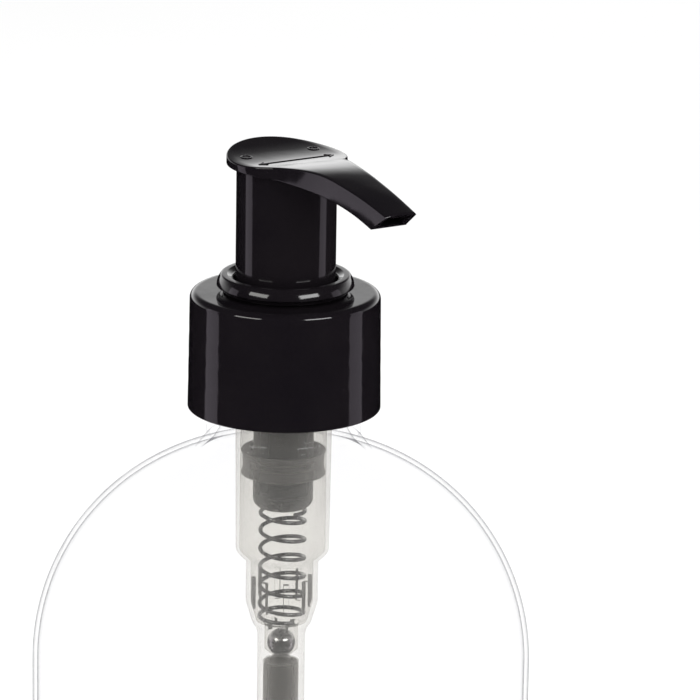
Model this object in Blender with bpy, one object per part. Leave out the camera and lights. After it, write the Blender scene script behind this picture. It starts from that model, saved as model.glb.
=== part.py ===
"""Soap pump dispenser: a clear 500 ml bottle with a domed shoulder, and a screw-on lotion pump with a
saddle-shaped head that turns left and right to lock.

Frame: +Z up, origin at the centre of the bottle's base, spout along +X. Lengths are metres, written in mm.
The pump's heights are measured from the lower edge of the closure, because the pump is made as one unit
that seats on the bottle's rim, and then lifted to CLOSURE_Z.
"""

import math

import bmesh
import bpy

MM = 0.001

# Clearances
STACK_GAP = 0.2 * MM  # between flat faces that press on each other
FIT_GAP = 0.1 * MM  # radial, between pushed-together round pieces
SLIDE_GAP = 0.2 * MM  # radial, between pieces that slide
TRAVEL_GAP = 1.0 * MM  # left under the head's tubes at the end of the stroke
EMBED = 0.3 * MM  # how deep a joined-on shape reaches into the wall that carries it

# Facets round each size of turned piece
COARSE = 48
FINE = 32
TUBE_SIDES = 14
HEEL_STEPS = 5
DOME_STEPS = 11

# Bottle
BODY_RADIUS = 42.85 * MM
DOME_RADIUS = 38.8 * MM
STRAIGHT_HEIGHT = 54.9 * MM
HEEL_RADIUS = 16.0 * MM
BOTTLE_WALL = 0.8 * MM
BASE_WALL = 1.6 * MM
FOOT_WIDTH = 4.0 * MM
PUSH_UP = 3.0 * MM
FOOT_SLOPE = [(0.0, 1.0), (0.45, 0.9), (0.8, 0.45), (1.0, 0.0)]  # shares: (way out to the foot ring, push-up)
INNER_HEEL_START = 2  # first point of the heel's arc that the inside has, above the thicker base
NECK_ROOT_DROP = 6.3 * MM  # closure's lower edge down to the dome arc's highest point
NECK_ROOM = 0.55 * MM  # radial, round the pump's widest part
NECK_WALL = 1.65 * MM
NECK_FILLET = 1.6 * MM
BEAD_REACH = 0.6 * MM
BEAD_HEIGHT = 1.0 * MM
BEAD_DROP = 4.5 * MM  # closure's lower edge down to the bead's underside

# 28/410 thread
THREAD_PITCH = 4.233 * MM
THREAD_TURNS = 1.5
THREAD_DEPTH = 1.1 * MM
THREAD_BASE = 2.2 * MM
THREAD_CREST = 1.0 * MM
THREAD_BELOW_RIM = 8.4 * MM  # rim down to the thread's first point
THREAD_OVERLAP = 0.6 * MM  # radial engagement of the two threads
THREAD_ROOM = 0.4 * MM  # radial, from the neck thread's crest to the closure's bore
THREAD_RUN_OUT = 0.12  # turns over which each end fades
THREAD_LEAST = 0.05  # share of its depth that the thread keeps at its very ends
THREAD_STEPS = 24  # facets per turn

# Closure
CLOSURE_WALL = 2.35 * MM
CLOSURE_DRAFT = 0.25 * MM
CLOSURE_HEIGHT = 20.3 * MM
CLOSURE_TOP = 1.6 * MM
CLOSURE_ROUND = 1.0 * MM

# Pump housing
BARREL_BORE = 7.4 * MM
BARREL_TOP_WALL = 0.85 * MM
BARREL_END_WALL = 0.6 * MM
BARREL_SPARE = 1.8 * MM  # barrel left under the piston at the end of the stroke
BARREL_ROUND = 1.0 * MM
BARREL_ROUND_ANGLE = -53.0  # degrees that the rounding turns before the step inwards starts
HEAD_ROOM_Z = 0.9 * MM  # floor of the wide upper part
UPPER_WALL = 0.75 * MM
FLANGE_OVERHANG = 0.1 * MM  # past the neck's outside
FLANGE_THICKNESS = 1.2 * MM
GASKET_THICKNESS = 1.2 * MM
PLUNGER_ROOM = 0.25 * MM  # radial, round the plunger in the narrow cylinder
LOWER_WALL = 0.8 * MM
LOWER_LENGTH = 7.4 * MM  # straight part of the narrow cylinder
SPRING_SEAT_FLARE = 0.4 * MM
SPRING_PRESSED = 8.6 * MM  # plunger's lower end above the spring's seat, at the end of the stroke
RIB_COUNT = 8
RIB_WIDTH = 0.9 * MM
RIB_REACH = 0.8 * MM
RIB_CLEARANCE = 0.6 * MM  # plunger to ribs at the end of the stroke
RIB_FOOT = 2.3 * MM  # seat up to the ribs' lower ends, which stay within the cone's wall
WEB = 1.2 * MM

# Inlet valve
BALL_RADIUS = 2.4 * MM
BALL_LIFT = 1.2 * MM
BALL_ROOM = 0.5 * MM
BALL_CONE_HEIGHT = 1.2 * MM
INLET_BORE = 1.5 * MM
NIB_COUNT = 4
NIB_REACH = 0.9 * MM
NIB_SIZE = 0.8 * MM

# Dip tube
TUBE_RADIUS = 3.0 * MM
TUBE_BORE = 2.3 * MM
TUBE_SOCKET_DEPTH = 8.5 * MM
TUBE_SOCKET_WALL = 1.0 * MM
TUBE_FLOOR_GAP = 2.2 * MM
TUBE_BOW = 5.0 * MM
TUBE_RINGS = 14

# Lock ring
RING_WALL = 0.85 * MM
RING_FLOOR = 1.0 * MM
COLLAR_HEIGHT = 3.1 * MM  # closure's top to the collar's top
COLLAR_UNDERCUT = 1.0 * MM
COLLAR_ROOT_REACH = 1.05 * MM  # these three are past the ring's outside
COLLAR_WIDE_REACH = 2.25 * MM
COLLAR_NARROW_REACH = 1.45 * MM
FUNNEL_FLARE = 1.2 * MM
FUNNEL_DEPTH = 0.8 * MM
GUIDE_WALL = 0.9 * MM

# Stem, plunger, piston and spring
STROKE = 12.0 * MM
STEM_RADIUS = 4.25 * MM
STEM_BORE = 2.6 * MM
STEM_END_Z = -15.5 * MM
PORT_DROP = 10.4 * MM  # closure's lower edge down to the middle of the stem's side ports
PORT_SIZE = 1.8 * MM
PLUNGER_WALL = 0.8 * MM
PLUNGER_HEIGHT = 5.1 * MM
PLUNGER_FLOOR = 2.2 * MM
PLUNGER_ROUND = 1.7 * MM
PISTON_LIP_END_Z = -11.8 * MM
PISTON_LIP_LENGTH = 4.2 * MM
PISTON_LIP_WALL = 0.6 * MM
PISTON_WAIST = 0.3 * MM
PISTON_WEB = 1.1 * MM
PISTON_PASSAGE = 0.5 * MM  # radial room for soap between hub and stem, below the hub's seal
PISTON_SEAL_LENGTH = 4.0 * MM
SPRING_ROOM = 0.45 * MM  # radial, between the spring and the ribs
SPRING_WIRE = 0.35 * MM
SPRING_TURNS = 7.0
SPRING_CLOSED_TURNS = 0.75  # at each end, lying almost flat
SPRING_CLOSED_GAP = 0.12 * MM
SPRING_STEPS = 16  # facets per turn
SPRING_SIDES = 6

# Actuator head
SLEEVE_RADIUS = 8.5 * MM
SLEEVE_WALL = 1.1 * MM
HEAD_OVERHANG = 1.7 * MM  # the saddle's disc past the sleeve
SPOUT_REACH = 35.8 * MM
TIP_SLANT = 3.6 * MM  # how far the spout's upper lip leads its lower lip
TIP_HALF_WIDTH = 3.0 * MM
SPOUT_TAPER = 0.051
FLARE_LENGTH = 5.8 * MM
FLARE_START = 7.0 * MM
SIDE_DRAFT = 0.5 * MM  # the spout's sides spread this much from top edge to bottom edge, at the tip
SADDLE_CROWN = 0.25 * MM  # the spout's top is this much higher along its middle, at the tip
SADDLE_OVER_SLEEVE = 1.0 * MM  # how far the head's tubes reach up into the saddle
SPOUT_WALL = 0.5 * MM
CHANNEL_WALL = 0.6 * MM  # sides of the passage
CHANNEL_HEIGHT = 2.1 * MM
DUCT_FLOOR = 0.9 * MM
DUCT_DROP = 1.6 * MM  # passage's floor above the stem, below the saddle's underside
GRIP_WALL = 1.1 * MM
GRIP_LENGTH = 15.0 * MM  # length of stem held in the head
GRIP_STOP_DROP = 5.5 * MM  # saddle's underside down to the stem's upper end

# Side view of the saddle, in mm above the closure's top: (distance along the spout, height) along the middle
# of its upper face, and along its underside. The distances stretch with the spout, so the last is at its lip.
SADDLE_TOP = [(-10.2, 24.75), (-6.0, 23.95), (-1.0, 23.5), (4.0, 23.6), (9.0, 24.2), (14.0, 24.7),
              (19.0, 24.6), (24.0, 23.95), (29.0, 23.1), (35.8, 21.55)]
SADDLE_UNDER = [(-10.2, 22.2), (0.0, 22.1), (6.0, 21.9), (12.0, 21.5), (18.0, 21.0), (23.6, 20.35),
                (28.0, 19.5), (32.2, 18.35)]

# Places that follow from the sizes above
DOME_OFFSET = BODY_RADIUS - DOME_RADIUS
DOME_CENTRE_Z = HEEL_RADIUS + STRAIGHT_HEIGHT
CLOSURE_Z = DOME_CENTRE_Z + DOME_RADIUS + NECK_ROOT_DROP
FOOT_INNER = BODY_RADIUS - HEEL_RADIUS - FOOT_WIDTH
CEILING_Z = CLOSURE_HEIGHT - CLOSURE_TOP
FLANGE_TOP_Z = CEILING_Z - STACK_GAP
FLANGE_Z = FLANGE_TOP_Z - FLANGE_THICKNESS
GASKET_TOP_Z = FLANGE_Z - STACK_GAP
GASKET_Z = GASKET_TOP_Z - GASKET_THICKNESS
RIM_FACE_Z = GASKET_Z - STACK_GAP
THREAD_Z = RIM_FACE_Z - THREAD_BELOW_RIM
RING_BORE = SLEEVE_RADIUS + SLIDE_GAP
RING_RADIUS = RING_BORE + RING_WALL
UPPER_BORE = RING_RADIUS + FIT_GAP
UPPER_RADIUS = UPPER_BORE + UPPER_WALL
NECK_BORE = UPPER_RADIUS + NECK_ROOM
NECK_RADIUS = NECK_BORE + NECK_WALL
FLANGE_RADIUS = NECK_RADIUS + FLANGE_OVERHANG
CLOSURE_BORE = NECK_RADIUS + THREAD_DEPTH + THREAD_ROOM
CLOSURE_RADIUS = CLOSURE_BORE + CLOSURE_WALL
HEAD_RADIUS = SLEEVE_RADIUS + HEAD_OVERHANG
DISC_HALF_WIDTH = math.sqrt(HEAD_RADIUS ** 2 - FLARE_START ** 2)  # where the disc ends and the flare starts
FLARE = DISC_HALF_WIDTH - TIP_HALF_WIDTH - SPOUT_TAPER * (SPOUT_REACH - FLARE_START)
RING_END_Z = HEAD_ROOM_Z + STACK_GAP
RING_FLOOR_Z = RING_END_Z + RING_FLOOR
COLLAR_TOP_Z = CLOSURE_HEIGHT + COLLAR_HEIGHT
SADDLE_UNDER_Z = CLOSURE_HEIGHT + SADDLE_UNDER[1][1] * MM
TUBES_TOP_Z = SADDLE_UNDER_Z + SADDLE_OVER_SLEEVE
STEM_TOP_Z = SADDLE_UNDER_Z - GRIP_STOP_DROP
GRIP_END_Z = STEM_TOP_Z - GRIP_LENGTH
GUIDE_TOP_Z = GRIP_END_Z - STROKE - TRAVEL_GAP
SLEEVE_END_Z = RING_FLOOR_Z + STROKE + TRAVEL_GAP
HUB_TOP_Z = RING_END_Z - STACK_GAP
PLUNGER_BORE = STEM_RADIUS + FIT_GAP
PLUNGER_RADIUS = PLUNGER_BORE + PLUNGER_WALL
BARREL_TOP_RADIUS = BARREL_BORE + BARREL_TOP_WALL
BARREL_END_RADIUS = BARREL_BORE + BARREL_END_WALL
LOWER_BORE = PLUNGER_RADIUS + PLUNGER_ROOM
LOWER_RADIUS = LOWER_BORE + LOWER_WALL
SPRING_RADIUS = LOWER_BORE - RIB_REACH - SPRING_ROOM - SPRING_WIRE
SEAT_BORE = SPRING_RADIUS + SPRING_WIRE + SLIDE_GAP  # where the cone under the narrow cylinder meets the seat
PLUNGER_END_Z = STEM_END_Z - STACK_GAP - PLUNGER_FLOOR
PLUNGER_TOP_Z = PLUNGER_END_Z + PLUNGER_HEIGHT
BARREL_END_Z = PISTON_LIP_END_Z - STROKE - BARREL_SPARE
LOWER_TOP_Z = BARREL_END_Z - BARREL_ROUND - (BARREL_END_RADIUS - LOWER_RADIUS) / 2
LOWER_END_Z = LOWER_TOP_Z - LOWER_LENGTH
RIB_TOP_Z = PLUNGER_END_Z - STROKE - RIB_CLEARANCE
SPRING_SEAT_Z = PLUNGER_END_Z - STROKE - SPRING_PRESSED
SPRING_TOP_Z = PLUNGER_END_Z - STACK_GAP
SPRING_END_Z = SPRING_SEAT_Z + STACK_GAP
BALL_CHAMBER_RADIUS = BALL_RADIUS + BALL_ROOM
SPRING_SEAT_BORE = BALL_CHAMBER_RADIUS + SPRING_SEAT_FLARE
CONE_SLOPE = BALL_CONE_HEIGHT / (BALL_CHAMBER_RADIUS - INLET_BORE)
BALL_ABOVE_APEX = BALL_RADIUS * math.sqrt(1 + CONE_SLOPE ** 2) + STACK_GAP
BALL_ABOVE_SEAT = BALL_ABOVE_APEX - INLET_BORE * CONE_SLOPE
NIB_RADIUS = BALL_CHAMBER_RADIUS - NIB_REACH
NIB_ABOVE_BALL = math.sqrt(BALL_RADIUS ** 2 - NIB_RADIUS ** 2) + BALL_LIFT + STACK_GAP
NIB_Z = SPRING_SEAT_Z - NIB_SIZE
BALL_Z = NIB_Z - NIB_SIZE / 2 - NIB_ABOVE_BALL
BALL_SEAT_Z = BALL_Z - BALL_ABOVE_SEAT
TUBE_SOCKET_BORE = TUBE_RADIUS + FIT_GAP
TUBE_SOCKET_RADIUS = TUBE_SOCKET_BORE + TUBE_SOCKET_WALL
TUBE_SOCKET_TOP_Z = BALL_SEAT_Z - WEB
HOUSING_END_Z = TUBE_SOCKET_TOP_Z - TUBE_SOCKET_DEPTH


def clear_scene():
    for obj in list(bpy.data.objects):
        bpy.data.objects.remove(obj)


def plastic(name, colour, roughness, metallic=0.0, transmission=0.0, alpha=1.0):
    """A Principled material."""
    material = bpy.data.materials.new(name)
    material.use_nodes = True
    shader = material.node_tree.nodes["Principled BSDF"]
    shader.inputs["Base Color"].default_value = (*colour, 1.0)
    shader.inputs["Roughness"].default_value = roughness
    shader.inputs["Metallic"].default_value = metallic
    shader.inputs["Transmission Weight"].default_value = transmission
    shader.inputs["Alpha"].default_value = alpha
    return material


def object_from(bm, name, material, parent=None, z=0.0):
    """Closes the bmesh into a named object at height z under parent, shaded smooth over its soft edges."""
    bmesh.ops.recalc_face_normals(bm, faces=bm.faces)
    mesh = bpy.data.meshes.new(name)
    bm.to_mesh(mesh)
    bm.free()
    mesh.shade_smooth()
    mesh.set_sharp_from_angle(angle=math.radians(30))
    mesh.materials.append(material)
    obj = bpy.data.objects.new(name, mesh)
    obj.location.z = z
    obj.parent = parent
    bpy.context.scene.collection.objects.link(obj)
    return obj


def turned(outline, segments):
    """A bmesh of revolution about Z. The (radius, height) outline loops, or starts and ends on the axis."""
    bm = bmesh.new()
    verts = [bm.verts.new((radius, 0.0, z)) for radius, z in outline]
    edges = [bm.edges.new(pair) for pair in zip(verts, verts[1:])]
    if outline[0][0] > 0:
        edges.append(bm.edges.new((verts[-1], verts[0])))
    bmesh.ops.spin(bm, geom=verts + edges, cent=(0, 0, 0), axis=(0, 0, 1), angle=math.tau, steps=segments,
                   use_merge=True)
    bmesh.ops.remove_doubles(bm, verts=bm.verts, dist=1e-6)
    return bm


def arc(centre, radius, start, end, steps):
    """Points of (radius, height) on an arc; angles in degrees, 0 pointing away from the axis and 90 up."""
    points = []
    for i in range(steps + 1):
        angle = math.radians(start + (end - start) * i / steps)
        points.append((centre[0] + radius * math.cos(angle), centre[1] + radius * math.sin(angle)))
    return points


def helper(bm, name):
    """A shape that only joins or cuts another one."""
    bmesh.ops.recalc_face_normals(bm, faces=bm.faces)
    mesh = bpy.data.meshes.new(name)
    bm.to_mesh(mesh)
    bm.free()
    obj = bpy.data.objects.new(name, mesh)
    obj.hide_render = True
    obj.display_type = "WIRE"
    bpy.context.scene.collection.objects.link(obj)
    return obj


def combine(obj, other, operation):
    """Adds or cuts the helper, which is placed in obj's own frame."""
    other.parent = obj.parent
    other.location = obj.location
    modifier = obj.modifiers.new(other.name, "BOOLEAN")
    modifier.object = other
    modifier.operation = operation
    modifier.solver = "EXACT"


def thread(root, crest, start_z):
    """A helical ridge, right-handed, whose ends fade into the wall at root."""
    bm = bmesh.new()
    outward = 1 if crest > root else -1
    total = round(THREAD_TURNS * THREAD_STEPS)
    rings = []
    for i in range(total + 1):
        turn = i / THREAD_STEPS
        fade = min(1.0, turn / THREAD_RUN_OUT, (THREAD_TURNS - turn) / THREAD_RUN_OUT)
        top = root + (crest - root) * max(THREAD_LEAST, fade)
        z = start_z + THREAD_PITCH * turn
        angle = math.tau * turn
        section = [(root - outward * EMBED, -THREAD_BASE / 2), (top, -THREAD_CREST / 2),
                   (top, THREAD_CREST / 2), (root - outward * EMBED, THREAD_BASE / 2)]
        rings.append([bm.verts.new((r * math.cos(angle), r * math.sin(angle), z + dz)) for r, dz in section])
    loft(bm, rings)
    return bm


def loft(bm, sections):
    """Joins rings of vertices into one closed body with a flat cap at each end."""
    for first, second in zip(sections, sections[1:]):
        for k in range(len(first)):
            b = (k + 1) % len(first)
            bm.faces.new((first[k], first[b], second[b], second[k]))
    bm.faces.new(sections[0])
    bm.faces.new(sections[-1])


def block(width, depth, height, centre, angle=0.0):
    """A box turned by angle about Z after it is placed at centre."""
    bm = bmesh.new()
    bmesh.ops.create_cube(bm, size=1.0)
    bmesh.ops.scale(bm, vec=(width, depth, height), verts=bm.verts)
    bmesh.ops.translate(bm, vec=centre, verts=bm.verts)
    for v in bm.verts:
        x, y = v.co.x, v.co.y
        v.co.x = x * math.cos(angle) - y * math.sin(angle)
        v.co.y = x * math.sin(angle) + y * math.cos(angle)
    return bm


def interpolate(points, x):
    """A smooth curve through (x, y) points given in mm, level past its ends, read at x metres, as metres."""
    x = x / MM
    last = len(points) - 1
    i = 0
    while i < last - 1 and x > points[i + 1][0]:
        i += 1

    def slope(k):
        a, b = points[max(k - 1, 0)], points[min(k + 1, last)]
        return (b[1] - a[1]) / (b[0] - a[0])

    (x0, y0), (x1, y1) = points[i], points[i + 1]
    span = x1 - x0
    t = min(max((x - x0) / span, 0.0), 1.0)
    value = (y0 * (1 + 2 * t) * (1 - t) ** 2 + span * slope(i) * t * (1 - t) ** 2
             + y1 * t * t * (3 - 2 * t) + span * slope(i + 1) * t * t * (t - 1))
    return value * MM


# --- bottle ---------------------------------------------------------------------------------------------


def body_outline(inset):
    """Half of the bottle's outline from the foot to the neck's root, offset inwards by inset."""
    heel = arc((BODY_RADIUS - HEEL_RADIUS, HEEL_RADIUS), HEEL_RADIUS - inset, -90, 0, HEEL_STEPS)
    root = (NECK_RADIUS + NECK_FILLET - inset - DOME_OFFSET) / (DOME_RADIUS - inset)
    root_angle = math.degrees(math.acos(root))
    dome = arc((DOME_OFFSET, DOME_CENTRE_Z), DOME_RADIUS - inset, 0, root_angle, DOME_STEPS)
    return heel + dome


def foot_outline(base_z):
    """The pushed-up middle of the base, from the axis out to the foot ring, base_z above the ground."""
    return [(FOOT_INNER * out, base_z + PUSH_UP * up) for out, up in FOOT_SLOPE]


def bottle(material):
    rim = CLOSURE_Z + RIM_FACE_Z
    bead = CLOSURE_Z - BEAD_DROP
    bead_radius = NECK_RADIUS + BEAD_REACH
    outside = foot_outline(0.0) + body_outline(0.0)
    outside += [
        (NECK_RADIUS + BEAD_REACH / 2, bead - BEAD_HEIGHT / 2), (bead_radius, bead),
        (bead_radius, bead + BEAD_HEIGHT), (NECK_RADIUS, bead + BEAD_HEIGHT + BEAD_REACH), (NECK_RADIUS, rim),
    ]
    inside = foot_outline(BASE_WALL) + [(BODY_RADIUS - HEEL_RADIUS, BASE_WALL)]
    inside += body_outline(BOTTLE_WALL)[INNER_HEEL_START:]
    inside += [(NECK_BORE, bead), (NECK_BORE, rim)]
    obj = object_from(turned(outside + inside[::-1], COARSE), "bottle", material)
    ridge = helper(thread(NECK_RADIUS, NECK_RADIUS + THREAD_DEPTH, CLOSURE_Z + THREAD_Z), "neck_thread")
    combine(obj, ridge, "UNION")


# --- closure, gasket and lock ring ----------------------------------------------------------------------


def closure(material, pump):
    top_radius = CLOSURE_RADIUS - CLOSURE_DRAFT
    hole = RING_RADIUS + SLIDE_GAP
    rounding = arc((top_radius - CLOSURE_ROUND, CLOSURE_HEIGHT - CLOSURE_ROUND), CLOSURE_ROUND, 0, 90, 4)
    outline = [(CLOSURE_RADIUS, 0.0)] + rounding + [(hole, CLOSURE_HEIGHT), (hole, CEILING_Z),
                                                    (CLOSURE_BORE, CEILING_Z), (CLOSURE_BORE, 0.0)]
    obj = object_from(turned(outline, COARSE), "closure", material, pump)
    crest = NECK_RADIUS + THREAD_DEPTH - THREAD_OVERLAP
    below = (THREAD_BASE + THREAD_CREST) / 2 + STACK_GAP
    combine(obj, helper(thread(CLOSURE_BORE, crest, THREAD_Z - below), "closure_thread"), "UNION")


def neck_gasket(material, pump):
    inner = UPPER_RADIUS + FIT_GAP
    outline = [(inner, GASKET_Z), (FLANGE_RADIUS, GASKET_Z), (FLANGE_RADIUS, GASKET_TOP_Z),
               (inner, GASKET_TOP_Z)]
    object_from(turned(outline, COARSE), "neck_gasket", material, pump)


def lock_ring(material, pump):
    """The fixed tube that the head's sleeve slides in, with a collar on top and a guide for the stem."""
    collar_z = CLOSURE_HEIGHT + STACK_GAP
    guide_bore = STEM_RADIUS + SLIDE_GAP
    guide_radius = guide_bore + GUIDE_WALL
    outline = [
        (RING_RADIUS, RING_END_Z), (RING_RADIUS, collar_z), (RING_RADIUS + COLLAR_ROOT_REACH, collar_z),
        (RING_RADIUS + COLLAR_WIDE_REACH, collar_z + COLLAR_UNDERCUT),
        (RING_RADIUS + COLLAR_NARROW_REACH, COLLAR_TOP_Z), (RING_BORE + FUNNEL_FLARE, COLLAR_TOP_Z),
        (RING_BORE, COLLAR_TOP_Z - FUNNEL_DEPTH), (RING_BORE, RING_FLOOR_Z), (guide_radius, RING_FLOOR_Z),
        (guide_radius, GUIDE_TOP_Z), (guide_bore, GUIDE_TOP_Z), (guide_bore, RING_END_Z),
    ]
    object_from(turned(outline, COARSE), "lock_ring", material, pump)


# --- housing, dip tube and inlet valve ------------------------------------------------------------------


def pump_housing(material, pump):
    flange = [(UPPER_BORE, FLANGE_TOP_Z), (FLANGE_RADIUS, FLANGE_TOP_Z), (FLANGE_RADIUS, FLANGE_Z)]
    upper = [(UPPER_RADIUS, FLANGE_Z), (UPPER_RADIUS, HEAD_ROOM_Z),
             (BARREL_TOP_RADIUS, HEAD_ROOM_Z - 2 * WEB)]
    barrel_end = arc((BARREL_END_RADIUS - BARREL_ROUND, BARREL_END_Z), BARREL_ROUND, 0, BARREL_ROUND_ANGLE, 1)
    lower = [
        (LOWER_RADIUS, LOWER_TOP_Z), (LOWER_RADIUS, LOWER_END_Z), (SEAT_BORE + LOWER_WALL, SPRING_SEAT_Z),
        (TUBE_SOCKET_RADIUS + EMBED, SPRING_SEAT_Z - WEB), (TUBE_SOCKET_RADIUS, SPRING_SEAT_Z - 2 * WEB),
        (TUBE_SOCKET_RADIUS, HOUSING_END_Z),
    ]
    inside = [
        (TUBE_SOCKET_BORE, HOUSING_END_Z), (TUBE_SOCKET_BORE, TUBE_SOCKET_TOP_Z),
        (INLET_BORE, TUBE_SOCKET_TOP_Z), (INLET_BORE, BALL_SEAT_Z),
        (BALL_CHAMBER_RADIUS, BALL_SEAT_Z + BALL_CONE_HEIGHT), (BALL_CHAMBER_RADIUS, NIB_Z),
        (SPRING_SEAT_BORE, SPRING_SEAT_Z), (SEAT_BORE, SPRING_SEAT_Z),
        (LOWER_BORE, LOWER_END_Z), (LOWER_BORE, LOWER_TOP_Z), (BARREL_BORE, BARREL_END_Z),
        (BARREL_BORE, HEAD_ROOM_Z), (UPPER_BORE, HEAD_ROOM_Z),
    ]
    outline = flange + upper + barrel_end + lower + inside
    obj = object_from(turned(outline, COARSE), "pump_housing", material, pump)
    rib_end_z = SPRING_SEAT_Z + RIB_FOOT
    for i in range(RIB_COUNT):
        centre = (LOWER_BORE - (RIB_REACH - EMBED) / 2, 0.0, (RIB_TOP_Z + rib_end_z) / 2)
        angle = math.tau * (i + 0.5) / RIB_COUNT
        rib = block(RIB_REACH + EMBED, RIB_WIDTH, RIB_TOP_Z - rib_end_z, centre, angle)
        combine(obj, helper(rib, f"guide_rib_{i + 1}"), "UNION")
    for i in range(NIB_COUNT):
        centre = (BALL_CHAMBER_RADIUS - (NIB_REACH - EMBED) / 2, 0.0, NIB_Z)
        nib = block(NIB_REACH + EMBED, NIB_SIZE, NIB_SIZE, centre, math.tau * i / NIB_COUNT)
        combine(obj, helper(nib, f"ball_nib_{i + 1}"), "UNION")


def inlet_ball(material, pump):
    """Rests on the cone between the chamber and the inlet."""
    bm = bmesh.new()
    bmesh.ops.create_uvsphere(bm, u_segments=16, v_segments=10, radius=BALL_RADIUS)
    object_from(bm, "inlet_ball", material, pump, BALL_Z)


def dip_tube(material, pump):
    """A soft tube pushed into the housing, bowed gently towards the spout side, its end cut at a slant."""
    top = TUBE_SOCKET_TOP_Z - STACK_GAP
    floor = PUSH_UP + BASE_WALL - CLOSURE_Z
    end = floor + TUBE_FLOOR_GAP + TUBE_RADIUS
    straight_end = HOUSING_END_Z - 2 * TUBE_RADIUS
    bm = bmesh.new()
    rings = []
    for i in range(TUBE_RINGS + 1):
        z = top + (end - top) * i / TUBE_RINGS
        fall = max(0.0, (straight_end - z) / (straight_end - end))
        cut = 1.0 if i == TUBE_RINGS else 0.0
        ring = []
        for radius in (TUBE_RADIUS, TUBE_BORE):
            for k in range(TUBE_SIDES):
                around = math.tau * k / TUBE_SIDES
                x, y = radius * math.cos(around), radius * math.sin(around)
                ring.append(bm.verts.new((TUBE_BOW * fall * fall + x, y, z + cut * x)))
        rings.append(ring)
    for first, second in zip(rings, rings[1:]):
        for base in (0, TUBE_SIDES):
            for k in range(TUBE_SIDES):
                a, b = base + k, base + (k + 1) % TUBE_SIDES
                bm.faces.new((first[a], first[b], second[b], second[a]))
    for ring in (rings[0], rings[-1]):
        for k in range(TUBE_SIDES):
            b = (k + 1) % TUBE_SIDES
            bm.faces.new((ring[k], ring[b], ring[TUBE_SIDES + b], ring[TUBE_SIDES + k]))
    object_from(bm, "dip_tube", material, pump)


# --- moving column --------------------------------------------------------------------------------------


def stem(material, pump):
    outline = [(STEM_RADIUS, STEM_END_Z), (STEM_RADIUS, STEM_TOP_Z), (STEM_BORE, STEM_TOP_Z),
               (STEM_BORE, STEM_END_Z)]
    obj = object_from(turned(outline, FINE), "stem", material, pump)
    for name, angle in (("port_x", 0.0), ("port_y", math.pi / 2)):
        right_through = 4 * STEM_RADIUS
        cut = block(right_through, PORT_SIZE, PORT_SIZE, (0, 0, -PORT_DROP), angle)
        combine(obj, helper(cut, name), "DIFFERENCE")


def plunger(material, pump):
    """The cup on the stem's lower end: its rim closes the piston's hub, and the spring pushes its floor."""
    floor = PLUNGER_END_Z + PLUNGER_FLOOR
    rounding = arc((PLUNGER_RADIUS - PLUNGER_ROUND, PLUNGER_END_Z + PLUNGER_ROUND), PLUNGER_ROUND, -90, 0, 5)
    outline = [(0.0, PLUNGER_END_Z)] + rounding
    outline += [(PLUNGER_RADIUS, PLUNGER_TOP_Z), (PLUNGER_BORE, PLUNGER_TOP_Z), (PLUNGER_BORE, floor),
                (0.0, floor)]
    object_from(turned(outline, FINE), "plunger", material, pump)


def piston(material, pump):
    """A hub that seals on the stem, and a double lip that wipes the barrel."""
    hub_end = PLUNGER_TOP_Z + STACK_GAP
    hub_radius = PLUNGER_RADIUS
    seal = STEM_RADIUS + FIT_GAP
    passage = STEM_RADIUS + PISTON_PASSAGE
    lip_out = BARREL_BORE - FIT_GAP
    lip_in = lip_out - PISTON_LIP_WALL
    waist = lip_out - PISTON_WAIST
    lip_top = PISTON_LIP_END_Z + PISTON_LIP_LENGTH
    web_end = PISTON_LIP_END_Z + (PISTON_LIP_LENGTH - PISTON_WEB) / 2
    web_top = web_end + PISTON_WEB
    seal_end = HUB_TOP_Z - PISTON_SEAL_LENGTH
    outline = [
        (passage, hub_end), (hub_radius, hub_end), (hub_radius, web_end), (lip_in, web_end),
        (lip_in, PISTON_LIP_END_Z), (lip_out, PISTON_LIP_END_Z), (waist, web_end), (waist, web_top),
        (lip_out, lip_top), (lip_in, lip_top), (lip_in, web_top), (hub_radius, web_top),
        (hub_radius, HUB_TOP_Z), (seal, HUB_TOP_Z), (seal, seal_end), (passage, seal_end - PISTON_PASSAGE),
    ]
    object_from(turned(outline, COARSE), "piston", material, pump)


def return_spring(material, pump):
    """A left-handed compression spring with closed ends."""
    bottom, top = SPRING_END_Z + SPRING_WIRE, SPRING_TOP_Z - SPRING_WIRE
    pitch_closed = 2 * SPRING_WIRE + SPRING_CLOSED_GAP
    open_turns = SPRING_TURNS - 2 * SPRING_CLOSED_TURNS
    pitch_open = (top - bottom - 2 * SPRING_CLOSED_TURNS * pitch_closed) / open_turns
    total = round(SPRING_TURNS * SPRING_STEPS)
    bm = bmesh.new()
    rings = []
    for i in range(total + 1):
        turn = SPRING_TURNS * i / total
        low = min(turn, SPRING_CLOSED_TURNS)
        high = max(0.0, turn - SPRING_CLOSED_TURNS - open_turns)
        z = bottom + (low + high) * pitch_closed + (turn - low - high) * pitch_open
        angle = -math.tau * turn
        ring = []
        for k in range(SPRING_SIDES):
            around = math.tau * k / SPRING_SIDES
            r, height = SPRING_RADIUS + SPRING_WIRE * math.cos(around), z + SPRING_WIRE * math.sin(around)
            ring.append(bm.verts.new((r * math.cos(angle), r * math.sin(angle), height)))
        rings.append(ring)
    loft(bm, rings)
    object_from(bm, "return_spring", material, pump)


# --- actuator head --------------------------------------------------------------------------------------


def top_z(u):
    drawn_reach = SADDLE_TOP[-1][0] * MM
    return CLOSURE_HEIGHT + interpolate(SADDLE_TOP, u * drawn_reach / SPOUT_REACH)


def under_z(u):
    drawn_reach = SADDLE_UNDER[-1][0] * MM
    return CLOSURE_HEIGHT + interpolate(SADDLE_UNDER, u * drawn_reach / (SPOUT_REACH - TIP_SLANT))


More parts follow.
